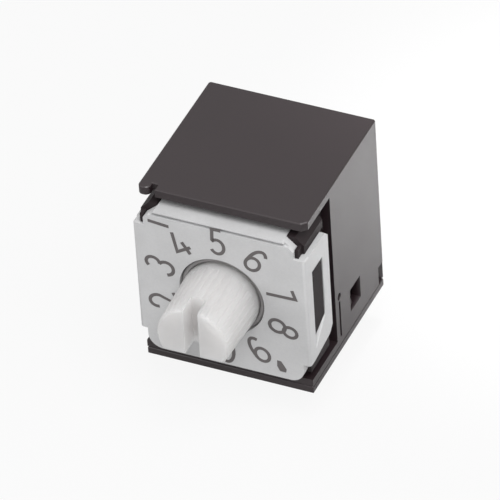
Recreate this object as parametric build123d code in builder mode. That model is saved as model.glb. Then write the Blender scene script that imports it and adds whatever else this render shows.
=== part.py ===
"""Ten-position rotary coded switch in a right-angle housing, for a printed circuit board.

Frame: X to the right, Y from the dial to the back, Z up, origin on the board seat.
The knob turns about a line along Y and its dial faces -Y. Lengths are in millimetres.
"""

from build123d import *
from math import asin, atan2, cos, degrees, hypot, radians, sin
import os

os.makedirs("parts", exist_ok=True)

# Right-angle housing
housing_width = 10.0
roof_gap = 0.5
side_wall = 0.55
back_wall = 0.6
top_plate = 0.53
lip_thickness = 0.45
wall_setback = 3.45
top_setback = 0.25
rear_chamfer = 0.45
front_corner_chamfer = 0.3
edge_chamfer = 0.06
ear_width = 0.7
ear_radius = 0.3
notch_width = 0.35
notch_depth = 0.5
stop_rib_height = 0.5
stop_rib_width = 0.35
rear_leg_space = 0.62

# Latch window, snap holes, guide grooves and rear slots in the side walls
window_width = 1.4
window_height = 1.5
window_setback = 5.4
window_rise = 1.1
snap_hole_radius = 0.22
snap_hole_setback = 3.98
snap_hole_rise = 2.85
groove_width = 0.2
groove_depth = 0.15
groove_height = 2.5
rear_slot_width = 0.3
rear_slot_height = 1.5
rear_slot_inset = 0.42

# Pin plate under the housing
pin_plate_thickness = 0.45
plate_chamfer = 0.06
seam = 0.05
comb_thickness = 1.2
comb_height = 2.1
latch_arm_thickness = 0.45
latch_arm_height = 2.6
latch_nose = 0.38
latch_nose_height = 1.0

# Dial cap
cap_side_overhang = 0.12
cap_height = 9.75
face_overhang = 0.4
face_thickness = 0.6
tab_thickness = 0.5
tab_length = 2.5
side_tab_thickness = 0.4
side_tab_drop = 1.05
side_tab_rise = 1.27
side_tab_taper = 0.3
side_tab_corner = 0.4
top_tab_width = 7.65
shoulder_step = 0.44
bottom_corner_radius = 0.85
tab_corner = 0.08
notch_inset = 0.66
brow_height = 0.09
brow_groove_width = 0.22
brow_groove_depth = 0.2
face_edge_radius = 0.2
cap_window_width = 1.4
cap_window_height = 4.35
cap_window_setback = 0.25
cap_window_rise = 1.76
cap_window_taper = 0.3

# Switch base
post_setback = 0.27
post_top_margin = 0.05
post_bottom_margin = 0.33
post_chamfer = 0.5
post_nose_setback = 0.15
neck_depth = 0.4
rail_width = 1.0
rail_depth = 1.3
snap_boss_height = 0.38
snap_boss_step = 0.12
floor_thickness = 0.6
crest_radius = 3.53
pocket_depth = 0.25
pocket_radius = 0.6
finger_space_radius = 3.5
finger_pocket_width = 0.44
finger_pocket_depth = 0.4
pivot_socket_depth = 0.4
snap_nub_height = 0.25

# Knob and rotor, one moulding
positions = 10
knob_length = 4.05
knob_root_radius = 2.34
knob_tip_radius = 2.1
knob_tip_chamfer = 0.12
knob_gap = 0.1
driver_slot_width = 0.88
driver_slot_depth = 1.15
flat_drop = 1.0
flat_length = 3.2
flute_count = 36
flute_radius = 0.15
flute_sides = 6
flute_depth = 0.07
flute_margin = 0.35
neck_radius = 2.3
seal_groove_depth = 0.15
seal_groove_width = 0.4
drum_radius = 3.3
drum_thickness = 1.25
hub_radius = 0.75
hub_flat = 0.62
pivot_radius = 0.55

# Seal, washer, detent and code wheel
cap_hole_radius = 2.53
seal_section_radius = 0.17
seal_section_sides = 8
washer_thickness = 0.1
washer_inner_radius = 2.5
washer_outer_radius = 3.2
ball_radius = 0.45
spring_coil_radius = 0.34
spring_wire_radius = 0.06
spring_turns = 3
spring_wire_sides = 6
wheel_thickness = 0.12
wheel_radius = 3.05
first_track_radius = 1.1
track_pitch = 0.4
track_width = 0.28

# Contacts and board pins
leg_width = 0.5
leg_thickness = 0.3
pin_radius = 0.25
pin_point = 0.1
pin_length = 2.5
pin_pitch = 2.54
pin_row_pitch = 5.08
root_row_pitch = 7.62
pin_bend_radius = 0.4
contact_thickness = 0.1
contact_width = 0.24
contact_depth = 0.35
contact_tip = 0.22
contact_rise_margin = 0.1
potting_thickness = 0.15
potting_margin = 0.3

# Clearances
fit_clearance = 0.02
running_clearance = 0.04
contact_clearance = 0.03
detent_clearance = 0.03
pin_clearance = 0.05

# The housing's height holds the lip, the cap and the gap under the roof
lip_bottom = pin_plate_thickness + seam
lip_top = lip_bottom + lip_thickness
cap_bottom = lip_top + fit_clearance
cap_top = cap_bottom + cap_height
ceiling = cap_top + roof_gap
housing_height = ceiling + top_plate

# The housing's depth holds the cap, the base, both rows of legs and the back wall
base_depth = face_thickness - face_overhang + tab_length + neck_depth
front_row_setback = base_depth + pin_bend_radius + pin_clearance
back_row_setback = front_row_setback + pin_row_pitch
housing_depth = back_row_setback + leg_thickness / 2 + rear_leg_space + back_wall

# Faces of the housing
front = -housing_depth / 2
back = housing_depth / 2
half_width = housing_width / 2
wall_front = front + wall_setback
top_front = front + top_setback
cavity_half_width = half_width - side_wall
cavity_back = back - back_wall

# Faces of the cap, and the line that the knob turns about
face_front = front - face_overhang
face_back = face_front + face_thickness
cap_half_width = half_width + cap_side_overhang
axis_height = (cap_bottom + cap_top) / 2
side_tab_bottom = cap_bottom + side_tab_rise
side_tab_top = cap_top - side_tab_drop
notch_side = cap_half_width - notch_inset
tab_back = face_back + tab_length
window_front = face_back + cap_window_setback
window_back = window_front + cap_window_width
window_bottom = side_tab_bottom + cap_window_rise
window_top = window_bottom + cap_window_height
rotor_axis = Axis((0, 0, axis_height), (0, 1, 0))

# Levels inside the switch, from the dial to the back
base_front = face_back + fit_clearance
drum_front = base_front + washer_thickness + fit_clearance
drum_back = drum_front + drum_thickness
wheel_back = drum_back + wheel_thickness
base_back = tab_back + neck_depth
floor_front = base_back - floor_thickness
strip_level = floor_front + finger_pocket_depth - contact_thickness / 2 - running_clearance

# Board pins
root_half_pitch = root_row_pitch / 2
front_row = front + front_row_setback
back_row = front + back_row_setback
pin_columns = [-pin_pitch, 0, pin_pitch]


def section(depth, height=0.0):
    """Plane across the switch at one depth, seen from the dial side."""
    return Plane(origin=(0, depth, height), x_dir=(1, 0, 0), z_dir=(0, -1, 0))


def side_view(offset=0.0, height=0.0):
    """Plane along the switch, seen from its right side."""
    return Plane(origin=(offset, 0, height), x_dir=(0, 1, 0), z_dir=(1, 0, 0))


def radial_view(angle):
    """Plane through the rotor's axis, with radius and depth as its two directions."""
    outward = (cos(radians(angle)), 0, sin(radians(angle)))
    sideways = (-sin(radians(angle)), 0, cos(radians(angle)))
    return Plane(origin=(0, 0, axis_height), x_dir=outward, z_dir=sideways)


def span(low, high):
    """Middle and length of a stretch."""
    return (low + high) / 2, high - low


# Housing: a shell that is open at the front and below, with a long roof and a lip
with BuildPart() as housing:
    middle, length = span(wall_front, back)
    with BuildSketch(Plane.XY.offset(lip_bottom)):
        with Locations((0, middle)):
            Rectangle(housing_width, length)
    extrude(amount=housing_height - lip_bottom)
    rear_edges = housing.edges().filter_by(Axis.Z).group_by(Axis.Y)[-1]
    chamfer(rear_edges, length=rear_chamfer)
    middle, length = span(front, wall_front)
    with BuildSketch(Plane.XY.offset(lip_bottom)):
        with Locations((0, middle)):
            Rectangle(housing_width, length)
    extrude(amount=lip_thickness)
    with BuildSketch(Plane.XY.offset(ceiling)):
        middle, length = span(top_front, wall_front)
        with Locations((0, middle)):
            Rectangle(housing_width, length)
        with Locations((notch_width / 2 + ear_width - half_width, top_front)):
            Rectangle(notch_width, 2 * notch_depth, mode=Mode.SUBTRACT)
    extrude(amount=top_plate)
    left_edges = housing.edges().filter_by(Axis.Z).sort_by(Axis.X)
    ear_edges = left_edges.filter_by(lambda edge: edge.center().Y < top_front + edge_chamfer)
    ear_edges = ear_edges.filter_by(lambda edge: edge.center().Z > ceiling)
    fillet(ear_edges[:2], radius=ear_radius)
    chamfer(ear_edges[-1:], length=front_corner_chamfer)
    roof_edges = housing.faces().sort_by(Axis.Z)[-1].edges()
    chamfer(roof_edges, length=edge_chamfer)
    # Hollow for the terminals, open below behind the lip
    middle, length = span(front_row - leg_thickness - potting_margin, cavity_back)
    with BuildSketch(Plane.XY.offset(lip_bottom)):
        with Locations((0, middle)):
            Rectangle(2 * cavity_half_width, length)
    extrude(amount=ceiling - lip_bottom, mode=Mode.SUBTRACT)
    with BuildSketch(Plane.XY.offset(lip_top)):
        middle, length = span(wall_front, cavity_back)
        with Locations((0, middle)):
            Rectangle(2 * cavity_half_width, length)
    extrude(amount=ceiling - lip_top, mode=Mode.SUBTRACT)
    # Stop rib that the switch base meets when it is pushed in
    middle, length = span(base_back + fit_clearance, base_back + fit_clearance + stop_rib_width)
    with BuildSketch(Plane.XY.offset(ceiling - stop_rib_height)):
        with Locations((0, middle)):
            Rectangle(2 * cavity_half_width, length)
    extrude(amount=stop_rib_height + edge_chamfer)
    # Latch windows and snap holes through both side walls
    with BuildSketch(side_view()):
        window_centre = front + window_setback + window_width / 2
        with Locations((window_centre, lip_bottom + window_rise + window_height / 2)):
            Rectangle(window_width, window_height)
        with Locations((front + snap_hole_setback, lip_top + snap_hole_rise)):
            Circle(snap_hole_radius)
    extrude(amount=half_width, both=True, mode=Mode.SUBTRACT)
    # Guide grooves outside, below the snap holes, and slots in the rear corners
    for side in (-1, 1):
        with BuildSketch(side_view(side * (half_width - groove_depth))):
            with Locations((front + snap_hole_setback, lip_top + groove_height / 2)):
                Rectangle(groove_width, groove_height)
        extrude(amount=side * groove_depth, mode=Mode.SUBTRACT)
        with BuildSketch(side_view(side * cavity_half_width)):
            slot_middle = back - rear_slot_inset - rear_slot_width / 2
            with Locations((slot_middle, lip_bottom + rear_slot_height / 2)):
                Rectangle(rear_slot_width, rear_slot_height)
        extrude(amount=side * side_wall, mode=Mode.SUBTRACT)
housing.part.label = "housing"

# Pin plate: closes the housing below, guides the pins and latches into the windows
comb_back = cavity_back - pin_clearance
comb_front = comb_back - comb_thickness
arm_half_width = cavity_half_width - fit_clearance
arm_middle, arm_length = span(front + window_setback, front + window_setback + window_width)
nose_bottom = lip_bottom + window_rise + pin_clearance
with BuildPart() as pin_plate:
    with BuildSketch(Plane.XY):
        Rectangle(housing_width, housing_depth)
    extrude(amount=pin_plate_thickness)
    corner_edges = pin_plate.edges().filter_by(Axis.Z).group_by(Axis.Y)[-1]
    chamfer(corner_edges, length=rear_chamfer)
    top_edges = pin_plate.faces().sort_by(Axis.Z)[-1].edges()
    chamfer(top_edges, length=plate_chamfer)
    with BuildSketch(Plane.XY.offset(pin_plate_thickness)):
        middle, length = span(comb_front, comb_back)
        with Locations((0, middle)):
            Rectangle(2 * arm_half_width - 2 * pin_clearance, length)
    extrude(amount=comb_height)
    with BuildSketch(Plane.XY.offset(pin_plate_thickness)):
        for side in (-1, 1):
            with Locations((side * (arm_half_width - latch_arm_thickness / 2), arm_middle)):
                Rectangle(latch_arm_thickness, arm_length - 2 * pin_clearance)
    extrude(amount=latch_arm_height)
    # Wedge noses that spring into the windows
    for side in (-1, 1):
        with BuildSketch(section(arm_middle)):
            with BuildLine():
                Polyline(
                    (side * arm_half_width, nose_bottom),
                    (side * (arm_half_width + latch_nose), nose_bottom),
                    (side * arm_half_width, nose_bottom + latch_nose_height),
                    close=True,
                )
            make_face()
        extrude(amount=arm_length / 2 - pin_clearance)
    # Holes for the six pins, and comb slots behind the rear row
    leg_hole_width = max(leg_width, 2 * pin_radius) + 2 * pin_clearance
    with BuildSketch(Plane.XY):
        with Locations(*[(x, y) for x in pin_columns for y in (front_row, back_row)]):
            Rectangle(leg_hole_width, leg_hole_width)
    extrude(amount=pin_plate_thickness + comb_height, mode=Mode.SUBTRACT)
    with BuildSketch(Plane.XY.offset(pin_plate_thickness)):
        middle, length = span(back_row, comb_back)
        with Locations(*[(x, middle) for x in pin_columns]):
            Rectangle(leg_hole_width, length)
    extrude(amount=comb_height, mode=Mode.SUBTRACT)
pin_plate.part.label = "pin_plate"

# Six contacts: a spring finger on one track of the code wheel, a flat bent leg and a round pin
track_radii = [first_track_radius + index * track_pitch for index in range(5)]
common_track = track_radii[0]
contact_plan = {
    "contact_bit_1": (-pin_pitch, 1, track_radii[1]),
    "contact_common_upper": (0, 1, common_track),
    "contact_bit_2": (pin_pitch, 1, track_radii[2]),
    "contact_bit_4": (-pin_pitch, -1, track_radii[3]),
    "contact_common_lower": (0, -1, common_track),
    "contact_bit_8": (pin_pitch, -1, track_radii[4]),
}
nose_level = wheel_back + contact_clearance + contact_thickness / 2
rise_start = finger_space_radius - contact_rise_margin
contacts = {}
for name, (column, row, track) in contact_plan.items():
    root_height = axis_height + row * root_half_pitch
    root_radius = hypot(column, root_half_pitch)
    angle = degrees(atan2(row * root_half_pitch, column))
    pin_row = back_row if row > 0 else front_row
    with BuildPart() as contact:
        with BuildSketch(radial_view(angle)):
            with BuildLine():
                Polyline(
                    (root_radius, strip_level),
                    (rise_start, strip_level),
                    (track, nose_level),
                    (track - contact_tip, nose_level + contact_tip),
                )
            trace(line_width=contact_thickness)
        extrude(amount=contact_width / 2, both=True)
        with BuildLine():
            FilletPolyline(
                (column, strip_level - contact_thickness / 2, root_height),
                (column, pin_row, root_height),
                (column, pin_row, 0),
                radius=pin_bend_radius,
            )
        with BuildSketch(section(strip_level - contact_thickness / 2, root_height)):
            with Locations((column, 0)):
                Rectangle(leg_width, leg_thickness)
        sweep()
        with BuildSketch(Plane.XY):
            with Locations((column, pin_row)):
                Circle(pin_radius)
        extrude(amount=-pin_length)
        chamfer(contact.faces().sort_by(Axis.Z)[0].edges(), length=pin_point)
    contact.part.label = name
    contacts[name] = contact.part

# Potting: a resin slab that seals each row of pins at the back of the base
potting_width = 2 * (pin_pitch + potting_margin) + leg_width
potting_height = 2 * potting_margin + leg_thickness
pottings = {}
for name, row in (("potting_upper", 1), ("potting_lower", -1)):
    with BuildPart() as potting:
        with BuildSketch(section(base_back, axis_height + row * root_half_pitch)):
            Rectangle(potting_width, potting_height)
            with Locations(*[(x, 0) for x in pin_columns]):
                Rectangle(leg_width, leg_thickness, mode=Mode.SUBTRACT)
        extrude(amount=potting_thickness)
    potting.part.label = name
    pottings[name] = potting.part

# Switch base: corner posts between the cap's tabs, detent ring, finger space and floor
post_half_width = cap_half_width - post_setback
post_top = cap_top + post_top_margin
post_bottom = cap_bottom + post_bottom_margin
recess_half_width = cap_half_width - side_tab_thickness - fit_clearance
core_top = cap_top - tab_thickness - fit_clearance
core_bottom = cap_bottom + tab_thickness + fit_clearance
tab_play = 0.05
with BuildPart() as switch_base:
    with BuildSketch(section(tab_back)) as posts:
        middle, height = span(post_bottom, post_top)
        with Locations((0, middle)):
            Rectangle(2 * post_half_width, height)
        chamfer(posts.vertices().group_by(Axis.Y)[-1], length=post_chamfer)
        side_depth = post_half_width - recess_half_width
        middle, height = span(side_tab_bottom - post_bottom_margin, side_tab_top + tab_play)
        for side in (-1, 1):
            with Locations((side * (post_half_width - side_depth / 2), middle)):
                Rectangle(side_depth, height, mode=Mode.SUBTRACT)
        for low, high in ((core_top, post_top), (post_bottom, core_bottom)):
            middle, height = span(low, high)
            with Locations((0, middle)):
                Rectangle(top_tab_width + 2 * tab_play, height, mode=Mode.SUBTRACT)
    extrude(amount=tab_back - base_front)
    # Noses of the upper posts, which fill the notches in the cap's face
    post_nose_side = notch_side + running_clearance
    post_nose_bottom = side_tab_top + running_clearance
    with BuildSketch(section(base_front)):
        for side in (-1, 1):
            with BuildLine():
                Polyline(
                    (side * post_nose_side, post_nose_bottom),
                    (side * recess_half_width, post_nose_bottom),
                    (side * recess_half_width, post_top - post_chamfer),
                    (side * post_nose_side, post_top - post_chamfer),
                    close=True,
                )
            make_face()
    extrude(amount=base_front - face_front - post_nose_setback)
    # Neck between the roof and the lip, and two rails along the housing's walls
    middle, height = span(lip_top + fit_clearance, ceiling - fit_clearance)
    with BuildSketch(section(base_back, middle)):
        Rectangle(2 * (cavity_half_width - fit_clearance), height)
    extrude(amount=neck_depth)
    middle, height = span(lip_top + fit_clearance, ceiling - stop_rib_height - fit_clearance)
    with BuildSketch(section(base_back + rail_depth, middle)):
        for side in (-1, 1):
            with Locations((side * (cavity_half_width - fit_clearance - rail_width / 2), 0)):
                Rectangle(rail_width, height)
    extrude(amount=rail_depth)
    # Snap bosses in the cap's side windows, ramped towards the dial
    boss_front = window_front + tab_play
    boss_back = window_back - tab_play
    middle, height = span(window_bottom + cap_window_taper + tab_play, window_top - tab_play)
    with BuildSketch(Plane.XY.offset(middle)):
        for side in (-1, 1):
            with BuildLine():
                Polyline(
                    (side * recess_half_width, boss_front),
                    (side * (recess_half_width + snap_boss_step), boss_front),
                    (side * (recess_half_width + snap_boss_height), boss_back),
                    (side * recess_half_width, boss_back),
                    close=True,
                )
            make_face()
    extrude(amount=height / 2, both=True)
    # Nubs that click into the housing's snap holes
    for side in (-1, 1):
        with BuildSketch(side_view(side * (cavity_half_width - fit_clearance))):
            with Locations((front + snap_hole_setback, lip_top + snap_hole_rise)):
                Circle(snap_hole_radius - tab_play)
        extrude(amount=side * snap_nub_height)
    # Detent ring with a pocket for each position, and the space behind the wheel
    with BuildSketch(section(floor_front, axis_height)):
        Circle(finger_space_radius)
    extrude(amount=floor_front - base_front, mode=Mode.SUBTRACT)
    pocket_centre = crest_radius + pocket_depth - pocket_radius
    with BuildSketch(section(wheel_back, axis_height)):
        Circle(crest_radius)
        with PolarLocations(pocket_centre, positions):
            Circle(pocket_radius)
    extrude(amount=wheel_back - base_front, mode=Mode.SUBTRACT)
    with BuildSketch(section(floor_front + pivot_socket_depth, axis_height)):
        Circle(pivot_radius + running_clearance)
    extrude(amount=pivot_socket_depth, mode=Mode.SUBTRACT)
    # Pockets that leave the spring fingers free, then the moulded-in contacts
    for column, row, track in contact_plan.values():
        angle = degrees(atan2(row * root_half_pitch, column))
        middle, length = span(track - contact_tip - tab_play, finger_space_radius)
        pocket_plane = section(floor_front + finger_pocket_depth, axis_height).rotated((0, 0, angle))
        with BuildSketch(pocket_plane):
            with Locations((middle, 0)):
                Rectangle(length, finger_pocket_width)
        extrude(amount=finger_pocket_depth, mode=Mode.SUBTRACT)
    for insert in [*pottings.values(), *contacts.values()]:
        add(insert, mode=Mode.SUBTRACT)
switch_base.part.label = "switch_base"

# Dial cap: notched face with four tabs, the side tabs with snap windows
with BuildPart() as dial_cap:
    with BuildSketch(section(face_back)) as face:
        with BuildLine():
            shoulder = cap_half_width - shoulder_step
            Polyline(
                (0, cap_bottom),
                (shoulder - bottom_corner_radius, cap_bottom),
            )
            RadiusArc(
                (shoulder - bottom_corner_radius, cap_bottom),
                (shoulder, cap_bottom + bottom_corner_radius),
                -bottom_corner_radius,
            )
            Polyline(
                (shoulder, cap_bottom + bottom_corner_radius),
                (shoulder, side_tab_bottom),
                (cap_half_width, side_tab_bottom),
                (cap_half_width, side_tab_top - tab_corner),
                (cap_half_width - tab_corner, side_tab_top),
                (top_tab_width / 2, cap_top),
                (0, cap_top),
            )
            mirror(about=Plane.YZ)
        make_face()
        # Notches beside the side tabs, which the base's upper posts fill
        middle, height = span(side_tab_top, cap_top)
        for side in (-1, 1):
            with Locations((side * (notch_side + cap_half_width) / 2, middle)):
                Rectangle(notch_inset, height, mode=Mode.SUBTRACT)
    extrude(amount=face_thickness)
    front_face = dial_cap.faces().sort_by(Axis.Y)[0]
    side_edges = front_face.edges().filter_by(Axis.Z).sort_by(Axis.X)
    fillet([side_edges[0], side_edges[-1]], radius=face_edge_radius)
    # Groove across the face, just below its top edge
    with BuildSketch(section(face_front + brow_groove_depth)):
        with Locations((0, cap_top - brow_height - brow_groove_width / 2)):
            Rectangle(2 * cap_half_width, brow_groove_width)
    extrude(amount=brow_groove_depth, mode=Mode.SUBTRACT)
    # Side tabs, tapered below and with their rear corners cut off
    for side in (-1, 1):
        with BuildSketch(side_view(side * (cap_half_width - side_tab_thickness))):
            with BuildLine():
                Polyline(
                    (face_back, side_tab_bottom),
                    (tab_back - side_tab_corner, side_tab_bottom + side_tab_taper),
                    (tab_back, side_tab_bottom + side_tab_taper + side_tab_corner),
                    (tab_back, side_tab_top - side_tab_corner),
                    (tab_back - side_tab_corner, side_tab_top),
                    (face_back, side_tab_top),
                    close=True,
                )
            make_face()
        extrude(amount=side * side_tab_thickness)
    # Upper and lower tabs
    with BuildSketch(section(tab_back)):
        for level in (cap_bottom + tab_thickness / 2, cap_top - tab_thickness / 2):
            with Locations((0, level)):
                Rectangle(top_tab_width, tab_thickness)
    extrude(amount=tab_length)
    with BuildSketch(section(face_back, axis_height)):
        Circle(cap_hole_radius)
    extrude(amount=face_thickness, mode=Mode.SUBTRACT)
    with BuildSketch(side_view()):
        with BuildLine():
            Polyline(
                (window_front, window_bottom),
                (window_back, window_bottom + cap_window_taper),
                (window_back, window_top),
                (window_front, window_top),
                close=True,
            )
        make_face()
    extrude(amount=cap_half_width, both=True, mode=Mode.SUBTRACT)
dial_cap.part.label = "dial_cap"

# Knob and rotor: fluted knob with a driver slot and a flat, seal groove, drum and pivot
knob_front = face_front - knob_length
knob_root = face_front - knob_gap
seal_level = (face_front + face_back) / 2
groove_front = seal_level - seal_groove_width / 2
groove_back = seal_level + seal_groove_width / 2
taper_angle = degrees(atan2(knob_root_radius - knob_tip_radius, knob_root - knob_front))
with BuildPart() as knob_rotor:
    with BuildSketch(side_view(height=axis_height)) as profile:
        with BuildLine():
            Polyline(
                (knob_front, 0),
                (knob_front, knob_tip_radius),
                (knob_root, knob_root_radius),
                (knob_root, neck_radius),
                (groove_front, neck_radius),
                (groove_front, neck_radius - seal_groove_depth),
                (groove_back, neck_radius - seal_groove_depth),
                (groove_back, neck_radius),
                (drum_front, neck_radius),
                (drum_front, drum_radius),
                (drum_back, drum_radius),
                (drum_back, hub_radius),
                (wheel_back, hub_radius),
                (wheel_back, pivot_radius),
                (floor_front + pivot_socket_depth - running_clearance, pivot_radius),
                (floor_front + pivot_socket_depth - running_clearance, 0),
                close=True,
            )
        make_face()
        tip_corner = profile.vertices().group_by(Axis.X)[0].sort_by(Axis.Y)[-1]
        chamfer(tip_corner, length=knob_tip_chamfer)
    revolve(axis=rotor_axis)
    # Flutes that follow the taper, from past the tip to just short of the face
    flute_planes = []
    for index in range(flute_count):
        turn = radians(360 / flute_count * (index + 0.5))
        outward = (cos(turn), 0, sin(turn))
        lean = sin(radians(taper_angle))
        along = (-lean * outward[0], -cos(radians(taper_angle)), -lean * outward[2])
        reach = knob_root_radius + flute_radius - flute_depth
        start = (reach * outward[0], knob_root - flute_margin, axis_height + reach * outward[2])
        flute_planes.append(Plane(origin=start, x_dir=(-sin(turn), 0, cos(turn)), z_dir=along))
    with BuildSketch(*flute_planes):
        RegularPolygon(flute_radius, flute_sides, rotation=180 / flute_sides)
    extrude(amount=knob_length, mode=Mode.SUBTRACT)
    # Driver slot and flat
    with BuildSketch(section(knob_front + driver_slot_depth, axis_height)):
        Rectangle(driver_slot_width, 3 * knob_tip_radius)
    extrude(amount=driver_slot_depth, mode=Mode.SUBTRACT)
    with BuildSketch(section(knob_front + flat_length, axis_height)):
        with Locations((0, -flat_drop - knob_root_radius)):
            Rectangle(3 * knob_root_radius, 2 * knob_root_radius)
    extrude(amount=flat_length, mode=Mode.SUBTRACT)
    # Flat that keys the code wheel to the hub
    with BuildSketch(section(wheel_back, axis_height)):
        with Locations((0, hub_flat + hub_radius)):
            Rectangle(2 * hub_radius, 2 * hub_radius)
    extrude(amount=wheel_thickness, mode=Mode.SUBTRACT)
    # Bore across the drum for the detent spring and its two balls
    drum_middle = (drum_front + drum_back) / 2
    with BuildSketch(side_view(height=axis_height)):
        with Locations((drum_middle, 0)):
            Circle(ball_radius + fit_clearance)
    extrude(amount=drum_radius, both=True, mode=Mode.SUBTRACT)
knob_rotor.part.label = "knob_rotor"

# Shaft seal in the groove
with BuildPart() as shaft_seal:
    with BuildSketch(side_view(height=axis_height)):
        with Locations((seal_level, cap_hole_radius - fit_clearance - seal_section_radius)):
            RegularPolygon(seal_section_radius, seal_section_sides, rotation=180 / seal_section_sides)
    revolve(axis=rotor_axis)
shaft_seal.part.label = "shaft_seal"

# Thrust washer between the cap and the drum
with BuildPart() as thrust_washer:
    with BuildSketch(section(base_front + washer_thickness, axis_height)):
        Circle(washer_outer_radius)
        Circle(washer_inner_radius, mode=Mode.SUBTRACT)
    extrude(amount=washer_thickness)
thrust_washer.part.label = "thrust_washer"

# Detent balls, one at each end of the bore, just clear of the ring's crests
ball_reach = crest_radius - detent_clearance - ball_radius
detent_balls = {}
for name, side in (("detent_ball_left", -1), ("detent_ball_right", 1)):
    with BuildPart() as ball:
        with BuildSketch(side_view(side * ball_reach, axis_height)):
            with BuildLine():
                CenterArc((drum_middle, 0), ball_radius, 0, 180)
                Line((drum_middle - ball_radius, 0), (drum_middle + ball_radius, 0))
            make_face()
        revolve(axis=Axis((side * ball_reach, 0, axis_height), (0, 1, 0)))
    ball.part.label = name
    detent_balls[name] = ball.part

# Detent spring: one coil spring along the bore that pushes the balls apart
spring_length = 2 * (ball_reach - ball_radius - spring_wire_radius)
spring_start = -spring_length / 2
with BuildPart() as detent_spring:
    with BuildLine():
        coil = Helix(
            pitch=spring_length / spring_turns,
            height=spring_length,
            radius=spring_coil_radius,
            center=(spring_start, drum_middle, axis_height),
            direction=(1, 0, 0),
        )
    with BuildSketch(Plane(origin=coil @ 0, z_dir=coil % 0)):
        RegularPolygon(spring_wire_radius, spring_wire_sides)
    sweep(is_frenet=True)
detent_spring.part.label = "detent_spring"

# Code wheel: a metal disc whose windows open each bit's track at the positions without it
step = 360 / positions
with BuildPart() as code_wheel:
    with BuildSketch(section(wheel_back, axis_height)):
        Circle(wheel_radius)
        for bit in (1, 2, 4, 8):
            column, row, track = contact_plan[f"contact_bit_{bit}"]
            finger_angle = degrees(atan2(row * root_half_pitch, column))
            end_trim = degrees(asin(track_width / 2 / track))
            open_places = [place for place in range(positions) if not place & bit]
            for place in open_places:
                if (place - 1) % positions in open_places:
                    continue
                run = 1
                while (place + run) % positions in open_places:
                    run += 1
                start = finger_angle + step * (place - 0.5) + end_trim
                sweep_angle = step * run - 2 * end_trim
                with BuildLine():
                    inner = CenterArc((0, 0), track - track_width / 2, start, sweep_angle)
                    outer = CenterArc((0, 0), track + track_width / 2, start, sweep_angle)
                    Line(inner @ 0, outer @ 0)
                    Line(inner @ 1, outer @ 1)
                make_face(mode=Mode.SUBTRACT)
    extrude(amount=wheel_thickness)
    with BuildSketch(section(wheel_back, axis_height)):
        Circle(hub_radius + fit_clearance)
        with Locations((0, hub_flat + fit_clearance + hub_radius)):
            Rectangle(3 * hub_radius, 2 * hub_radius, mode=Mode.SUBTRACT)
    extrude(amount=wheel_thickness, mode=Mode.SUBTRACT)
code_wheel.part.label = "code_wheel"

export_step(housing.part, "parts/housing.step")
export_step(pin_plate.part, "parts/pin_plate.step")
export_step(switch_base.part, "parts/switch_base.step")
export_step(dial_cap.part, "parts/dial_cap.step")
export_step(knob_rotor.part, "parts/knob_rotor.step")
export_step(shaft_seal.part, "parts/shaft_seal.step")
export_step(thrust_washer.part, "parts/thrust_washer.step")
export_step(detent_spring.part, "parts/detent_spring.step")
export_step(code_wheel.part, "parts/code_wheel.step")
for name, part in {**contacts, **pottings, **detent_balls}.items():
    export_step(part, f"parts/{name}.step")
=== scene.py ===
"""Finishes, printed digits and studio for a ten-position rotary coded switch."""

import math

import bpy
from mathutils import Matrix, Vector


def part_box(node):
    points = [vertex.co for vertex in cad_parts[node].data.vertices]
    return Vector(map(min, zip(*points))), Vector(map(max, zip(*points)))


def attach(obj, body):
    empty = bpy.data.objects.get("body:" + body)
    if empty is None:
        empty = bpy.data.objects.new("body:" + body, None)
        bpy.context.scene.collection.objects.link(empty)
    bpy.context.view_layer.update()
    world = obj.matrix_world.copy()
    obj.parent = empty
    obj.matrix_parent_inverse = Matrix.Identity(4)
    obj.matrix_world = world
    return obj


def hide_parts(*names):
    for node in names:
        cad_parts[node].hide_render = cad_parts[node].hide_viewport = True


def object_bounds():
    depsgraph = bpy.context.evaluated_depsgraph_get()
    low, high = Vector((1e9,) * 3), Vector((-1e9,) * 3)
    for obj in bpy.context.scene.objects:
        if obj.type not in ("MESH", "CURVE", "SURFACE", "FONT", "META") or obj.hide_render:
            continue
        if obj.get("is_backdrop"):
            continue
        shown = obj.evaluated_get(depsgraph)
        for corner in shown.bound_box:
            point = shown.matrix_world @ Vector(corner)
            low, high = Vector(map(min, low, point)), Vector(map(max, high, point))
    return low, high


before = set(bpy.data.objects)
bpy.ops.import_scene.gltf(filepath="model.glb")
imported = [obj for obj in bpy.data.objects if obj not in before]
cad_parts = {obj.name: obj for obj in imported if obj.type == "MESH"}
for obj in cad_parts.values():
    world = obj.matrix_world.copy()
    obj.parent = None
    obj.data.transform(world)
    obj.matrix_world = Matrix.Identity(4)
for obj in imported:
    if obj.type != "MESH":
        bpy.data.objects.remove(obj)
cad_low, cad_high = (list(corner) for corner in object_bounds())

bl_info = {
    "name": "Rotary coded switch",
    "version": (1, 0, 0),
    "blender": (4, 5, 0),
    "location": "View3D > Sidebar > Coded Switch",
    "description": "Finishes, dial print and studio for a rotary coded switch",
    "category": "Object",
}

MM = 0.001
CASE = "case"
ROTOR = "rotor"
BLADES = ("contact_common_upper", "contact_common_lower", "contact_bit_1", "contact_bit_2",
          "contact_bit_4", "contact_bit_8", "code_wheel")
STEEL_PIECES = ("thrust_washer", "detent_spring", "detent_ball_left", "detent_ball_right")
POTTINGS = ("potting_upper", "potting_lower")

# Angles of the printed digits round the knob's axis, in degrees from the right
DIGIT_ANGLES = {
    "0": 271, "1": 237, "2": 200, "3": 162, "4": 126,
    "5": 90, "6": 54, "7": 18, "8": -20, "9": -57,
}

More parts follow.
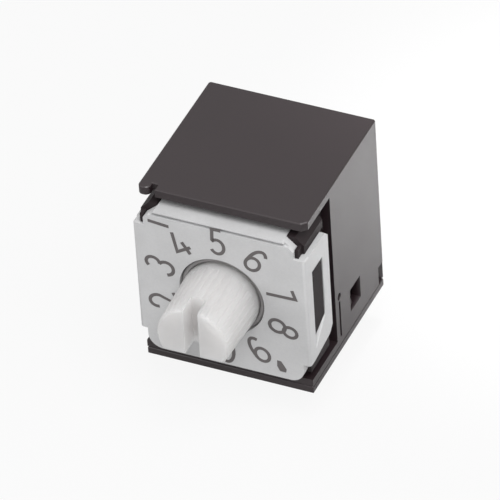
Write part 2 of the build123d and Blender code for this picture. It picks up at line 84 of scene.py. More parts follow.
# Printed marks beside the digits, as outlines in millimetres from the knob's axis
DIAL_MARKS = {
    "upper_dash": ((-4.17, 4.30), (-2.93, 4.18), (-2.93, 3.98), (-4.17, 4.10)),
    "lower_block": (
        (3.10, -3.68), (3.34, -3.70), (3.64, -4.20), (3.60, -4.42), (3.24, -4.42), (3.08, -4.10),
    ),
}

# Height of the print over the dial, and the sharpest turn that its lines are mitred to
INK_HEIGHT = 0.012 * MM
MITRE_LIMIT = 0.6

# Rear corners of the housing and its plate: the frame's chamfer and the smaller one that is seen
FRAME_CHAMFER = 0.45 * MM
REAR_CHAMFER = 0.10 * MM

# Slots beside the rear corners: their reach from the back, the level of their top and its drop
SLOT_REACH = 0.75 * MM
SLOT_TOP = 2.0 * MM
SLOT_DROP = 0.3 * MM

# Lower front corner of the windows in the dial's side tabs and of the bosses in them, as Y and Z of
# the frame, and how far each is lowered
WINDOW_CORNER = (-4.55 * MM, 4.0 * MM)
WINDOW_DROP = 1.05 * MM
BOSS_CORNER = (-4.5 * MM, 4.35 * MM)
BOSS_DROP = 1.27 * MM

# How far the knob's skin is drawn in at its root, as a share of its radius, and the radii within
# which its points stay: inside the knob and, from the knob's back to the seal, inside the neck
ROOT_DRAW = 0.04
KNOB_CORE = 1.5 * MM
NECK_CORE = 2.2 * MM
KNOB_BACK = -0.05 * MM
SEAL_FRONT = 0.3 * MM

# How near a point of the frame lies to the wall, the chamfer or the corner that it belongs to
WALL_REACH = 0.1 * MM
CHAMFER_REACH = 0.05 * MM
CORNER_REACH = 0.01 * MM

# Modifiers that finish a moulding
WELD_REACH = 0.0005 * MM
FLAT_ANGLE = math.radians(1.0)
NORMAL_WEIGHT = 100

# Numbers of the Mix node's sockets for colours
MIX_FACTOR, MIX_LOW, MIX_HIGH, MIX_RESULT = 0, 6, 7, 2

# Directions in which the lamps stand from the dial's centre, their distance and their width
LAMPS = {"key": (0.4, -0.45, 1.0), "side": (1.0, 0.1, 0.5), "front": (-0.9, -1.0, 0.5)}
LAMP_DISTANCE = 0.30
LAMP_WIDTH = 0.20

# Lamp over the paper: where it stands, its height, the radius of its patch and its own radius
SPOT_PLACE = (14.0 * MM, 21.0 * MM)
SPOT_HEIGHT = 0.15
SPOT_RADIUS = 0.020
SPOT_SOFTNESS = 0.01

# Paper floor: its half width, its colour and the share of white seen directly and through a surface
FLOOR_REACH = 3.0
PAPER = (0.5, 0.5, 0.5, 1)
WHITE = (1, 1, 1, 1)
SEEN_SHARE = 0.90
THROUGH_SHARE = 0.4

# Width of the camera's film in millimetres, and the nearest and farthest distance that it sees
FILM_WIDTH = 36.0
CLIP_START = 0.01
CLIP_END = 10.0

# Places of the dial, the knob and the floor, read from the frame
cap_low, cap_high = (Vector(corner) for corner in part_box("dial_cap"))
DIAL_FRONT = cap_low.y
DIAL_CENTRE = (cap_low.z + cap_high.z) / 2
KNOB_FRONT = Vector(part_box("knob_rotor")[0]).y
FLOOR_LEVEL = cad_low[2]


class Socket:
    """A shader value that can be written in sums; each operation adds its Math node."""

    def __init__(self, shader, link):
        self.shader = shader
        self.link = link

    def _math(self, operation, first, second):
        values = {0: first, 1: second}
        return self.shader.node("ShaderNodeMath", {"operation": operation}, values)["Value"]

    def __add__(self, other):
        return self._math("ADD", self, other)

    def __radd__(self, other):
        return self._math("ADD", other, self)

    def __sub__(self, other):
        return self._math("SUBTRACT", self, other)

    def __rsub__(self, other):
        return self._math("SUBTRACT", other, self)

    def __mul__(self, other):
        return self._math("MULTIPLY", self, other)

    def __rmul__(self, other):
        return self._math("MULTIPLY", other, self)


class Outputs:
    """The output sockets of one node, by name or number."""

    def __init__(self, shader, node):
        self.shader = shader
        self.node = node

    def __getitem__(self, key):
        return Socket(self.shader, self.node.outputs[key])


class Shader:
    """The node tree of a material or a world, with one method that adds any node."""

    def __init__(self, owner):
        owner.use_nodes = True
        self.owner = owner
        self.tree = owner.node_tree
        self.tree.nodes.clear()

    def node(self, kind, settings=None, values=None):
        """Adds a node, applies its settings and then fills or links its inputs."""
        made = self.tree.nodes.new(kind)
        for key, value in (settings or {}).items():
            if key == "stops":
                self._stops(made, value)
            else:
                setattr(made, key, value)
        for key, value in (values or {}).items():
            if isinstance(value, Socket):
                self.tree.links.new(value.link, made.inputs[key])
            else:
                made.inputs[key].default_value = value
        return Outputs(self, made)

    def _stops(self, ramp, stops):
        elements = ramp.color_ramp.elements
        while len(elements) < len(stops):
            elements.new(1.0)
        for element, (place, shade) in zip(elements, stops):
            element.position = place
            element.color = (shade, shade, shade, 1)

    def place(self):
        """The object's own coordinates, in millimetres."""
        values = {0: self.node("ShaderNodeTexCoord")["Object"], "Scale": 1 / MM}
        return self.node("ShaderNodeVectorMath", {"operation": "SCALE"}, values)["Vector"]

    def noise(self, place, scale, detail=3.0, roughness=0.55, stretch=(1, 1, 1)):
        """Noise between 0 and 1, with its scale in features to the millimetre."""
        values = {0: place, 1: stretch}
        spot = self.node("ShaderNodeVectorMath", {"operation": "MULTIPLY"}, values)["Vector"]
        values = {"Vector": spot, "Scale": scale, "Detail": detail, "Roughness": roughness}
        return self.node("ShaderNodeTexNoise", None, values)["Fac"]

    def cells(self, place, scale):
        """Distance to the nearest point of a random scatter, in cell units."""
        return self.node("ShaderNodeTexVoronoi", None, {"Vector": place, "Scale": scale})["Distance"]

    def band(self, value, stops):
        """Maps a value through a ramp of grey stops."""
        return self.node("ShaderNodeValToRGB", {"stops": stops}, {"Fac": value})["Color"]

    def tint(self, amount, low, high):
        """Mixes two colours by an amount."""
        values = {MIX_FACTOR: amount, MIX_LOW: (*low, 1), MIX_HIGH: (*high, 1)}
        return self.node("ShaderNodeMix", {"data_type": "RGBA"}, values)[MIX_RESULT]

    def bump(self, height, strength, distance):
        """A bump normal from a height, with its depth in millimetres."""
        values = {"Height": height, "Strength": strength, "Distance": distance * MM}
        return self.node("ShaderNodeBump", None, values)["Normal"]

    def surface(self, values):
        """Ends the material in one shader with these inputs."""
        body = self.node("ShaderNodeBsdfPrincipled", None, values)["BSDF"]
        self.node("ShaderNodeOutputMaterial", None, {"Surface": body})
        return self.owner


def shade(colour, factor):
    """A colour made darker or lighter."""
    return tuple(min(1.0, part * factor) for part in colour)


def rear_corner(spot, high):
    """Moves a chamfer's point outwards, which makes it smaller, and lowers the slot beside it."""
    side = high.x - abs(spot.x)
    back = high.y - spot.y
    gain = FRAME_CHAMFER - REAR_CHAMFER
    if side < WALL_REACH and back < SLOT_REACH and abs(spot.z - SLOT_TOP) < CORNER_REACH:
        spot.z -= SLOT_DROP
    if side < WALL_REACH and abs(back - FRAME_CHAMFER) < CHAMFER_REACH:
        spot.y += gain
    elif back < WALL_REACH and abs(side - FRAME_CHAMFER) < CHAMFER_REACH:
        spot.x += math.copysign(gain, spot.x)
    return spot


def lowered(corner, drop):
    """Makes a move that lowers the points at one corner of the side view."""
    def move(spot, high):
        off = max(abs(spot.y - corner[0]), abs(spot.z - corner[1]))
        return spot - Vector((0, 0, drop)) if off < CORNER_REACH else spot
    return move


def narrowed(spot, high):
    """Draws the knob's skin in towards the dial, which leaves more of the seal in view."""
    across = Vector((spot.x, 0, spot.z - DIAL_CENTRE))
    behind = spot.y - DIAL_FRONT
    core = KNOB_CORE if behind < KNOB_BACK else NECK_CORE
    if behind > SEAL_FRONT or across.length < core:
        return spot
    share = min(1.0, (spot.y - KNOB_FRONT) / (DIAL_FRONT - KNOB_FRONT))
    return spot - across * (ROOT_DRAW * share)


def seated(name, mesh, body):
    """Adds a piece that rides on a body of the switch."""
    piece = bpy.data.objects.new(name, mesh)
    bpy.context.scene.collection.objects.link(piece)
    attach(piece, body)
    return piece


def reshaped(name, moved, body=CASE):
    """Copies a piece of the frame, moves some of its points and shows the copy in its place."""
    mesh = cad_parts[name].data.copy()
    high = Vector(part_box(name)[1])
    for vertex in mesh.vertices:
        vertex.co = moved(vertex.co.copy(), high)
    mesh.update()
    piece = seated(f"{name}_form", mesh, body)
    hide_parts(name)
    return piece


def rounded(piece, width, angle=25.0, segments=2):
    """Softens the moulded edges of a piece and smooths its round faces."""
    weld = piece.modifiers.new("Weld", "WELD")
    weld.merge_threshold = WELD_REACH
    bevel = piece.modifiers.new("Edge", "BEVEL")
    bevel.width = width * MM
    bevel.segments = segments
    bevel.limit_method = "ANGLE"
    bevel.angle_limit = math.radians(angle)
    bevel.miter_outer = "MITER_ARC"
    flatten = piece.modifiers.new("Flatten", "DECIMATE")
    flatten.decimate_type = "DISSOLVE"
    flatten.angle_limit = FLAT_ANGLE
    shading = piece.modifiers.new("Shading", "WEIGHTED_NORMAL")
    shading.weight = NORMAL_WEIGHT
    shading.keep_sharp = True
    for polygon in piece.data.polygons:
        polygon.use_smooth = True


def finish_piece(piece, material):
    """Gives a piece its material."""
    piece.data.materials.clear()
    piece.data.materials.append(material)


def printed(name, vertices, faces, ink):
    """Adds a printed figure, which rides with the dial."""
    mesh = bpy.data.meshes.new(name)
    mesh.from_pydata(vertices, [], faces)
    mesh.update()
    mesh.materials.append(ink)
    seated(name, mesh, CASE)


class HousingFinish(bpy.types.PropertyGroup):
    """Sizes and colours of the black mouldings."""

    colour: bpy.props.FloatVectorProperty(
        name="Housing colour", description="Colour of the black moulded plastic",
        subtype="COLOR", size=3, default=(0.0162, 0.0095, 0.0112), min=0, max=1)
    grain_depth: bpy.props.FloatProperty(
        name="Grain depth", description="Depth of the spark-eroded grain, in millimetres", default=0.012)
    edge_radius: bpy.props.FloatProperty(
        name="Edge radius", description="Radius of the moulded edges, in millimetres", default=0.035)


class DialFinish(bpy.types.PropertyGroup):
    """Sizes and colours of the grey dial and its print."""

    colour: bpy.props.FloatVectorProperty(
        name="Dial colour", description="Colour of the grey dial cap",
        subtype="COLOR", size=3, default=(0.555, 0.555, 0.56), min=0, max=1)
    ink: bpy.props.FloatVectorProperty(
        name="Ink colour", description="Colour of the printed digits",
        subtype="COLOR", size=3, default=(0.11, 0.10, 0.10), min=0, max=1)
    edge_radius: bpy.props.FloatProperty(
        name="Edge radius", description="Radius of the dial's edges, in millimetres", default=0.06)
    ring_radius: bpy.props.FloatProperty(
        name="Digit ring", description="Radius of the ring of digits",
        subtype="DISTANCE", default=3.82 * MM)
    digit_height: bpy.props.FloatProperty(
        name="Digit height", description="Height of a digit", subtype="DISTANCE", default=1.66 * MM)
    digit_width: bpy.props.FloatProperty(
        name="Digit width", description="Width of a digit", subtype="DISTANCE", default=0.92 * MM)
    stroke: bpy.props.FloatProperty(
        name="Stroke", description="Width of a digit's line", subtype="DISTANCE", default=0.20 * MM)


class KnobFinish(bpy.types.PropertyGroup):
    """Sizes and colours of the white knob and its seal."""

    colour: bpy.props.FloatVectorProperty(
        name="Knob colour", description="Colour of the white knob",
        subtype="COLOR", size=3, default=(0.52, 0.511, 0.509), min=0, max=1)
    glow: bpy.props.FloatProperty(
        name="Glow", description="Share of light that passes under the knob's skin",
        subtype="FACTOR", default=0.9, min=0, max=1)
    edge_radius: bpy.props.FloatProperty(
        name="Edge radius", description="Radius of the knob's edges, in millimetres", default=0.03)
    # The seal colour is mid grey though the rubber is black: painted light that lifts the shaded ring
    # round the knob
    seal: bpy.props.FloatVectorProperty(
        name="Seal colour", description="Colour of the rubber ring round the knob",
        subtype="COLOR", size=3, default=(0.25, 0.24, 0.24), min=0, max=1)


class MetalFinish(bpy.types.PropertyGroup):
    """Colours of the metal pieces and the resin."""

    brass: bpy.props.FloatVectorProperty(
        name="Contact colour", description="Colour of the plated contacts",
        subtype="COLOR", size=3, default=(0.72, 0.60, 0.36), min=0, max=1)
    steel: bpy.props.FloatVectorProperty(
        name="Steel colour", description="Colour of the balls, spring and washer",
        subtype="COLOR", size=3, default=(0.60, 0.61, 0.62), min=0, max=1)
    resin: bpy.props.FloatVectorProperty(
        name="Resin colour", description="Colour of the potting resin",
        subtype="COLOR", size=3, default=(0.025, 0.018, 0.012), min=0, max=1)


class StudioSettings(bpy.types.PropertyGroup):
    """Camera, lamps and backdrop."""

    azimuth: bpy.props.FloatProperty(
        name="Camera azimuth", description="Turn of the camera to the right of the dial",
        subtype="ANGLE", default=math.radians(26.12))
    elevation: bpy.props.FloatProperty(
        name="Camera elevation", description="Height of the camera above the horizon",
        subtype="ANGLE", default=math.radians(39.51))
    roll: bpy.props.FloatProperty(
        name="Camera roll", description="Clockwise lean of the camera",
        subtype="ANGLE", default=math.radians(3.86))
    distance: bpy.props.FloatProperty(
        name="Camera distance", description="Distance from the switch to the camera",
        subtype="DISTANCE", default=390 * MM)
    lens: bpy.props.FloatProperty(
        name="Focal length", description="Focal length of the camera, in millimetres", default=505.0)
    aim: bpy.props.FloatVectorProperty(
        name="Aim", description="Point that the camera looks at, in millimetres",
        size=3, default=(-1.61, 1.75, 3.09))
    sky: bpy.props.FloatProperty(
        name="Sky", description="Level of the even light from all sides", default=0.34)
    gloss: bpy.props.FloatProperty(
        name="Sky in gloss", description="Level of the sky as smooth surfaces mirror it", default=0.8)
    key: bpy.props.FloatProperty(
        name="Key lamp", description="Level of the lamp above and in front", default=1.0)
    side: bpy.props.FloatProperty(
        name="Side lamp", description="Level of the lamp at the right", default=0.15)
    front: bpy.props.FloatProperty(
        name="Front lamp", description="Level of the lamp that faces the dial", default=0.26)
    spot: bpy.props.FloatProperty(
        name="Floor spot", description="Level of the lamp on the paper behind the right side",
        default=3.9)


def black_plastic(name, colour, grain_depth, worn, roughness, index):
    """Matt black moulding: eroded grain, cloudy gloss, dust and rubbed patches."""
    shader = Shader(bpy.data.materials.new(name))
    place = shader.place()
    grain = shader.noise(place, scale=14.0, detail=4.0, roughness=0.6)
    fine = shader.noise(place, scale=45.0, detail=2.0, roughness=0.5)
    clouds = shader.noise(place, scale=0.45, detail=4.0, roughness=0.6)
    flow = shader.noise(place, scale=0.8, roughness=0.5, stretch=(1.0, 0.25, 0.25))
    specks = shader.noise(place, scale=22.0, detail=2.0, roughness=0.7)
    dust = shader.band(specks, ((0.66, 0.0), (0.78, 1.0)))
    mottle = clouds * 0.5 + flow * 0.3 + grain * 0.2
    pale = dust * (0.25 * worn) + mottle * 0.5 + fine * 0.12
    colour_link = shader.tint(pale, shade(colour, 0.8), shade(colour, 1.7))
    rough = roughness + mottle * 0.14 + fine * 0.05
    bump = shader.bump(grain * 0.65 + fine * 0.35, strength=0.4, distance=grain_depth)
    return shader.surface({"Base Color": colour_link, "Roughness": rough, "Normal": bump, "IOR": index})


def grey_plastic(name, colour):
    """Satin grey moulding: soft clouds, faint flow marks and specks of dirt."""
    shader = Shader(bpy.data.materials.new(name))
    place = shader.place()
    clouds = shader.noise(place, scale=0.6, roughness=0.5)
    speckle = shader.noise(place, scale=9.0, roughness=0.6)
    fine = shader.noise(place, scale=40.0, detail=2.0, roughness=0.5)
    dirt = shader.band(shader.cells(place, scale=2.2), ((0.0, 1.0), (0.07, 0.0)))
    smears = shader.noise(place, scale=3.2, detail=4.0, roughness=0.7)
    grime = shader.band(smears, ((0.62, 0.0), (0.80, 1.0)))
    pale = clouds * 0.5 + speckle * 0.35 + fine * 0.15 - dirt * 0.35 - grime * 0.25
    colour_link = shader.tint(pale, shade(colour, 0.78), shade(colour, 1.16))
    rough = 0.40 + clouds * 0.12 + fine * 0.08
    bump = shader.bump(speckle * 0.5 + fine * 0.5, strength=0.4, distance=0.008)
    return shader.surface({"Base Color": colour_link, "Roughness": rough, "Normal": bump})


def white_nylon(name, colour, glow):
    """Slightly translucent white moulding: light passes under its skin and its gloss is soft."""
    shader = Shader(bpy.data.materials.new(name))
    place = shader.place()
    clouds = shader.noise(place, scale=0.9)
    fine = shader.noise(place, scale=26.0, roughness=0.6)
    milky = clouds * 0.75 + fine * 0.25
    colour_link = shader.tint(milky, shade(colour, 0.88), shade(colour, 1.08))
    rough = 0.30 + milky * 0.12
    bump = shader.bump(fine, strength=0.35, distance=0.006)
    return shader.surface({"Base Color": colour_link, "Roughness": rough, "Normal": bump,
                           "Subsurface Weight": glow, "Subsurface Scale": 7.0 * MM,
                           "Subsurface Radius": (1.0, 0.97, 0.95)})


def metal(name, colour, roughness, stretch):
    """Rolled metal: fine brushed lines, dull patches and a light tarnish."""
    shader = Shader(bpy.data.materials.new(name))
    place = shader.place()
    lines = shader.noise(place, scale=18.0, roughness=0.6, stretch=stretch)
    patches = shader.noise(place, scale=1.2, roughness=0.5)
    tarnish = lines * 0.4 + patches * 0.6
    colour_link = shader.tint(tarnish, shade(colour, 0.8), shade(colour, 1.12))
    rough = roughness + tarnish * 0.18
    bump = shader.bump(lines, strength=0.3, distance=0.004)
    return shader.surface({"Base Color": colour_link, "Roughness": rough, "Normal": bump,
                           "Metallic": 1.0})


def plain_finish(name, colour, roughness, grain=30.0):
    """Rubber, resin or ink: one colour with a fine uneven skin."""
    shader = Shader(bpy.data.materials.new(name))
    place = shader.place()
    skin = shader.noise(place, scale=grain, roughness=0.6)
    clouds = shader.noise(place, scale=1.5, detail=2.0, roughness=0.5)
    colour_link = shader.tint(skin * 0.5 + clouds * 0.5, shade(colour, 0.75), shade(colour, 1.3))
    rough = roughness + skin * 0.12
    bump = shader.bump(skin, strength=0.3, distance=0.004)
    return shader.surface({"Base Color": colour_link, "Roughness": rough, "Normal": bump})


def digit_strokes():
    """Centre lines of the digits in a box one wide and one high, as lists of points."""
    def arc(centre, radii, start, end, steps=10):
        turns = [math.radians(start + (end - start) * i / steps) for i in range(steps + 1)]
        return [(centre[0] + radii[0] * math.cos(t), centre[1] + radii[1] * math.sin(t)) for t in turns]

    six = [
        arc((0.43, 0.28), (0.44, 0.28), 0, 360, 24),
        arc((0.45, 0.50), (0.46, 0.50), 48, 180, 14) + [(-0.01, 0.28)],
    ]
    return {
        "0": [arc((0.5, 0.5), (0.46, 0.5), 0, 360, 28)],
        "1": [[(0.18, 0.78), (0.55, 1.0), (0.55, 0.0)]],
        "2": [arc((0.5, 0.71), (0.44, 0.29), 172, -30, 14) + [(0.04, 0.0), (0.98, 0.0)]],
        "3": [
            arc((0.46, 0.755), (0.40, 0.245), 155, -72, 14),
            arc((0.46, 0.27), (0.48, 0.27), 76, -155, 16),
        ],
        "4": [[(0.45, 1.0), (-0.14, 0.28), (0.88, 0.24)], [(0.60, 0.54), (0.56, 0.02)]],
        "5": [[(0.70, 1.0), (0.14, 1.0), (0.11, 0.54)] + arc((0.42, 0.29), (0.43, 0.29), 128, -150, 18)],
        "6": six,
        "7": [[(0.28, 0.93), (0.94, 0.93), (0.40, -0.07)]],
        "8": [arc((0.5, 0.76), (0.38, 0.24), 270, 630, 22), arc((0.5, 0.28), (0.46, 0.28), 0, 360, 24)],
        "9": [[(1 - x, 1 - y) for x, y in stroke] for stroke in six],
    }


def ribbon(points, width, closed):
    """Left and right edges of a flat stroke of even width with mitred corners."""
    count = len(points)
    left, right = [], []
    for i, point in enumerate(points):
        before = points[i - 1] if i or closed else None
        after = points[(i + 1) % count] if i < count - 1 or closed else None
        turns = []
        if before is not None:
            turns.append((Vector(point) - Vector(before)).normalized())
        if after is not None:
            turns.append((Vector(after) - Vector(point)).normalized())
        along = sum(turns, Vector((0, 0))).normalized()
        side = Vector((-along.y, along.x))
        reach = width / 2 / max(MITRE_LIMIT, abs(along.dot(turns[0])))
        left.append(Vector(point) + side * reach)
        right.append(Vector(point) - side * reach)
    return left, right


def dial_place(angle, radius):
    """Turn and centre of a figure on the dial's face, at an angle of the ring, with its top outwards."""
    turn = math.radians(angle)
    up = Vector((math.cos(turn), 0, math.sin(turn)))
    across = Vector((math.sin(turn), 0, -math.cos(turn)))
    centre = Vector((0, DIAL_FRONT, DIAL_CENTRE)) + up * radius
    out = Vector((0, -1, 0))
    return Matrix((across, up, out)).transposed(), centre


def figure_mesh(strokes, finish):
    """Vertices and faces of strokes as low raised ribbons, centred on the figure's middle."""
    vertices, faces = [], []
    for layer, points in enumerate(strokes):
        skin = INK_HEIGHT * (1 + layer / 2)
        scaled = [((x - 0.5) * finish.digit_width, (y - 0.5) * finish.digit_height) for x, y in points]
        closed = (Vector(scaled[0]) - Vector(scaled[-1])).length < finish.stroke * 0.05
        if closed:
            scaled = scaled[:-1]
        left, right = ribbon(scaled, finish.stroke, closed)
        base = len(vertices)
        count = len(scaled)
        for i in range(count):
            for edge, level in ((left, 0), (right, 0), (left, skin), (right, skin)):
                vertices.append((edge[i].x, edge[i].y, level))
        for i in range(count if closed else count - 1):
            a, b = base + 4 * i, base + 4 * ((i + 1) % count)
            faces += [(a + 3, b + 3, b + 2, a + 2), (a, a + 2, b + 2, b)]
            faces += [(a + 1, b + 1, b + 3, a + 3), (a, b, b + 1, a + 1)]
        if not closed:
            end = base + 4 * (count - 1)
            faces += [(base, base + 1, base + 3, base + 2), (end, end + 2, end + 3, end + 1)]
    return vertices, faces


def flat_mark(name, outline, ink):
    """Prints a mark on the dial; its outline is given in millimetres from the knob's axis."""
    count = len(outline)
    vertices = [(x * MM, DIAL_FRONT, DIAL_CENTRE + z * MM) for x, z in outline]
    vertices += [(x, y - INK_HEIGHT, z) for x, y, z in vertices]
    faces = [tuple(range(count, 2 * count)), tuple(range(count - 1, -1, -1))]
    faces += [(i, (i + 1) % count, (i + 1) % count + count, i + count) for i in range(count)]
    printed(name, vertices, faces, ink)


class SWITCH_OT_housing(bpy.types.Operator):
    """Finish the black housing and its pin plate"""

    bl_idname = "switch.housing"
    bl_label = "Housing"

    def execute(self, context):
        finish = context.scene.switch_housing
        material = black_plastic("housing_plastic", finish.colour, finish.grain_depth,
                                 worn=1.0, roughness=0.30, index=1.56)
        for name in ("housing", "pin_plate"):
            piece = reshaped(name, rear_corner)
            finish_piece(piece, material)
            rounded(piece, finish.edge_radius)
        return {"FINISHED"}


class SWITCH_OT_base(bpy.types.Operator):
    """Finish the dark base between the housing and the dial; its black is the housing's, darkened
    further as painted shade
    """

    bl_idname = "switch.base"
    bl_label = "Switch base"

    def execute(self, context):
        finish = context.scene.switch_housing
        # The housing's colour scaled to 0.7 is painted shade: it darkens the base where it shows in the
        # gap at the dial's corners and in the side windows
        material = black_plastic("base_plastic", shade(finish.colour, 0.7), finish.grain_depth,
                                 worn=0.3, roughness=0.54, index=1.40)
        piece = reshaped("switch_base", lowered(BOSS_CORNER, BOSS_DROP))
        finish_piece(piece, material)
        rounded(piece, finish.edge_radius)
        return {"FINISHED"}


class SWITCH_OT_dial(bpy.types.Operator):
    """Finish the grey dial and print its digits and marks"""

    bl_idname = "switch.dial"
    bl_label = "Dial"

    def execute(self, context):
        finish = context.scene.switch_dial
        piece = reshaped("dial_cap", lowered(WINDOW_CORNER, WINDOW_DROP))
        finish_piece(piece, grey_plastic("cap_plastic", finish.colour))
        rounded(piece, finish.edge_radius, angle=20.0, segments=3)
        ink = plain_finish("dial_ink", finish.ink, roughness=0.5)
        for number, strokes in digit_strokes().items():
            turn, centre = dial_place(DIGIT_ANGLES[number], finish.ring_radius)
            vertices, faces = figure_mesh(strokes, finish)
            placed = [turn @ Vector(vertex) + centre for vertex in vertices]
            printed(f"digit_{number}", placed, faces, ink)
        for name, outline in DIAL_MARKS.items():
            flat_mark(name, outline, ink)
        return {"FINISHED"}


class SWITCH_OT_knob(bpy.types.Operator):
    """Finish the white knob and its seal"""

    bl_idname = "switch.knob"
    bl_label = "Knob"

    def execute(self, context):
        finish = context.scene.switch_knob
        piece = reshaped("knob_rotor", narrowed, ROTOR)
        finish_piece(piece, white_nylon("knob_plastic", finish.colour, finish.glow))
        rounded(piece, finish.edge_radius, angle=28.0)
        # The seal's grey is painted light on black rubber, lifting the shaded ring between the knob and
        # the dial
        rubber = plain_finish("seal_rubber", finish.seal, roughness=0.65)
        finish_piece(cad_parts["shaft_seal"], rubber)
        return {"FINISHED"}


class SWITCH_OT_metal(bpy.types.Operator):
    """Finish the contacts, the code wheel, the detent, the washer and the resin"""

    bl_idname = "switch.metal"
    bl_label = "Metal and resin"

    def execute(self, context):
        finish = context.scene.switch_metal
        brass = metal("contact_brass", finish.brass, roughness=0.22, stretch=(1.0, 0.2, 0.2))
        steel = metal("spring_steel", finish.steel, roughness=0.18, stretch=(1.0, 1.0, 0.3))
        resin = plain_finish("potting_resin", finish.resin, roughness=0.25, grain=4.0)
        for names, material in ((BLADES, brass), (STEEL_PIECES, steel), (POTTINGS, resin)):
            for name in names:
                finish_piece(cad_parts[name], material)
        return {"FINISHED"}


def lamp(name, direction, level):
    """A soft square lamp whose level is the share of full white that it gives a surface facing it."""
    data = bpy.data.lights.new(name, "AREA")
    data.shape = "SQUARE"
    data.size = LAMP_WIDTH
    data.energy = level * (math.pi * LAMP_DISTANCE) ** 2
    piece = bpy.data.objects.new(name, data)
    bpy.context.scene.collection.objects.link(piece)
    way = Vector(direction).normalized()
    piece.location = way * LAMP_DISTANCE + Vector((0, 0, DIAL_CENTRE))
    piece.rotation_mode = "QUATERNION"
    piece.rotation_quaternion = way.to_track_quat("Z", "Y")
    piece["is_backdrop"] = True


def floor_spot(level):
    """A lamp above the paper that brightens a round patch of it beside the switch."""
    data = bpy.data.lights.new("floor_spot", "SPOT")
    data.spot_size = 2 * math.atan2(SPOT_RADIUS, SPOT_HEIGHT)
    data.spot_blend = 1.0
    data.shadow_soft_size = SPOT_SOFTNESS
    data.energy = level * (2 * math.pi * SPOT_HEIGHT) ** 2
    piece = bpy.data.objects.new("floor_spot", data)
    bpy.context.scene.collection.objects.link(piece)
    piece.location = (*SPOT_PLACE, FLOOR_LEVEL + SPOT_HEIGHT)
    piece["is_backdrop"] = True


def white_world(level, gloss):
    """Even light, seen as plain white by the camera and at its own level in reflections."""
    shader = Shader(bpy.data.worlds.new("studio"))

    def light(strength):
        values = {"Color": WHITE, "Strength": strength}
        return shader.node("ShaderNodeBackground", None, values)["Background"]

    path = shader.node("ShaderNodeLightPath")
    sky = light(level)
    for ray, strength in (("Is Glossy Ray", gloss), ("Is Camera Ray", 1.0)):
        values = {0: path[ray], 1: sky, 2: light(strength)}
        sky = shader.node("ShaderNodeMixShader", None, values)["Shader"]
    shader.node("ShaderNodeOutputWorld", None, {"Surface": sky})
    bpy.context.scene.world = shader.owner


def floor_paper():
    """White paper that keeps a light shadow and fades into the backdrop."""
    shader = Shader(bpy.data.materials.new("floor_paper"))
    paper = shader.node("ShaderNodeBsdfDiffuse", None, {"Color": PAPER})["BSDF"]
    glow = shader.node("ShaderNodeEmission", None, {"Color": WHITE, "Strength": 1.0})["Emission"]
    path = shader.node("ShaderNodeLightPath")
    seen = path["Is Camera Ray"] * SEEN_SHARE + path["Is Transmission Ray"] * THROUGH_SHARE
    mixed = shader.node("ShaderNodeMixShader", None, {0: seen, 1: paper, 2: glow})["Shader"]
    shader.node("ShaderNodeOutputMaterial", None, {"Surface": mixed})
    return shader.owner


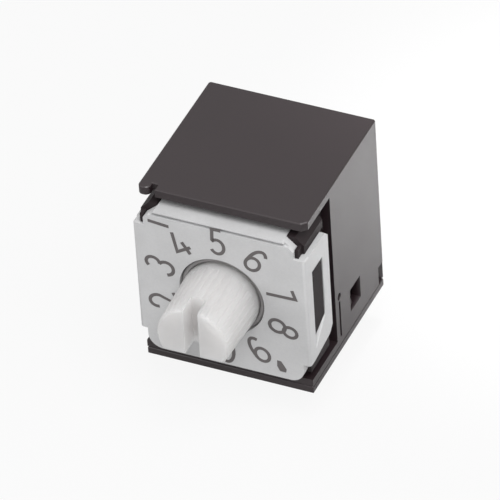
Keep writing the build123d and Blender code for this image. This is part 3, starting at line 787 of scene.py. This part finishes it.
def paper_floor():
    """A square sheet of paper just below the pins."""
    mesh = bpy.data.meshes.new("floor")
    corners = [(-1, -1), (1, -1), (1, 1), (-1, 1)]
    places = [(x * FLOOR_REACH, y * FLOOR_REACH, FLOOR_LEVEL) for x, y in corners]
    mesh.from_pydata(places, [], [(0, 1, 2, 3)])
    mesh.materials.append(floor_paper())
    piece = bpy.data.objects.new("floor", mesh)
    bpy.context.scene.collection.objects.link(piece)
    piece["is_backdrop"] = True


class SWITCH_OT_stage(bpy.types.Operator):
    """Set up the floor, the lamps and the camera"""

    bl_idname = "switch.stage"
    bl_label = "Stage"

    def execute(self, context):
        scene = context.scene
        studio = scene.switch_studio
        paper_floor()
        white_world(studio.sky, studio.gloss)
        for name, direction in LAMPS.items():
            lamp(name, direction, getattr(studio, name))
        floor_spot(studio.spot)
        self.camera(scene, studio)
        scene.view_settings.view_transform = "Standard"
        return {"FINISHED"}

    def camera(self, scene, studio):
        """Sets the camera that looks at the switch from the right and from above."""
        data = bpy.data.cameras.new("camera")
        data.lens = studio.lens
        data.sensor_width = FILM_WIDTH
        data.clip_start = CLIP_START
        data.clip_end = CLIP_END
        camera = bpy.data.objects.new("camera", data)
        scene.collection.objects.link(camera)
        forward = Vector((
            -math.sin(studio.azimuth) * math.cos(studio.elevation),
            math.cos(studio.azimuth) * math.cos(studio.elevation),
            -math.sin(studio.elevation),
        ))
        level_right = Vector((math.cos(studio.azimuth), math.sin(studio.azimuth), 0))
        level_up = level_right.cross(forward)
        right = level_right * math.cos(studio.roll) - level_up * math.sin(studio.roll)
        up = right.cross(forward)
        turn = Matrix((right, up, -forward)).transposed().to_4x4()
        aim = Vector(studio.aim) * MM
        camera.matrix_world = Matrix.Translation(aim - forward * studio.distance) @ turn
        scene.camera = camera


class SWITCH_PT_panel(bpy.types.Panel):
    """Lists the switch's pieces in the sidebar"""

    bl_idname = "SWITCH_PT_panel"
    bl_label = "Coded Switch"
    bl_space_type = "VIEW_3D"
    bl_region_type = "UI"
    bl_category = "Coded Switch"

    def draw(self, context):
        for operator, group in PIECES:
            box = self.layout.box()
            box.operator(operator.bl_idname)
            settings = getattr(context.scene, group)
            for name in settings.__annotations__:
                box.prop(settings, name)


GROUPS = {
    "switch_housing": HousingFinish,
    "switch_dial": DialFinish,
    "switch_knob": KnobFinish,
    "switch_metal": MetalFinish,
    "switch_studio": StudioSettings,
}
PIECES = (
    (SWITCH_OT_housing, "switch_housing"),
    (SWITCH_OT_base, "switch_housing"),
    (SWITCH_OT_dial, "switch_dial"),
    (SWITCH_OT_knob, "switch_knob"),
    (SWITCH_OT_metal, "switch_metal"),
    (SWITCH_OT_stage, "switch_studio"),
)


def register():
    """Adds the settings to the scene, and the operators and the panel to Blender."""
    for name, group in GROUPS.items():
        bpy.utils.register_class(group)
        setattr(bpy.types.Scene, name, bpy.props.PointerProperty(type=group))
    for operator, _ in PIECES:
        bpy.utils.register_class(operator)
    bpy.utils.register_class(SWITCH_PT_panel)


def unregister():
    """Takes away what register added."""
    bpy.utils.unregister_class(SWITCH_PT_panel)
    for operator, _ in reversed(PIECES):
        bpy.utils.unregister_class(operator)
    for name, group in reversed(GROUPS.items()):
        delattr(bpy.types.Scene, name)
        bpy.utils.unregister_class(group)


def main():
    """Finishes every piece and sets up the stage."""
    register()
    bpy.ops.switch.housing()
    bpy.ops.switch.base()
    bpy.ops.switch.dial()
    bpy.ops.switch.knob()
    bpy.ops.switch.metal()
    bpy.ops.switch.stage()


if __name__ == "__main__":
    main()
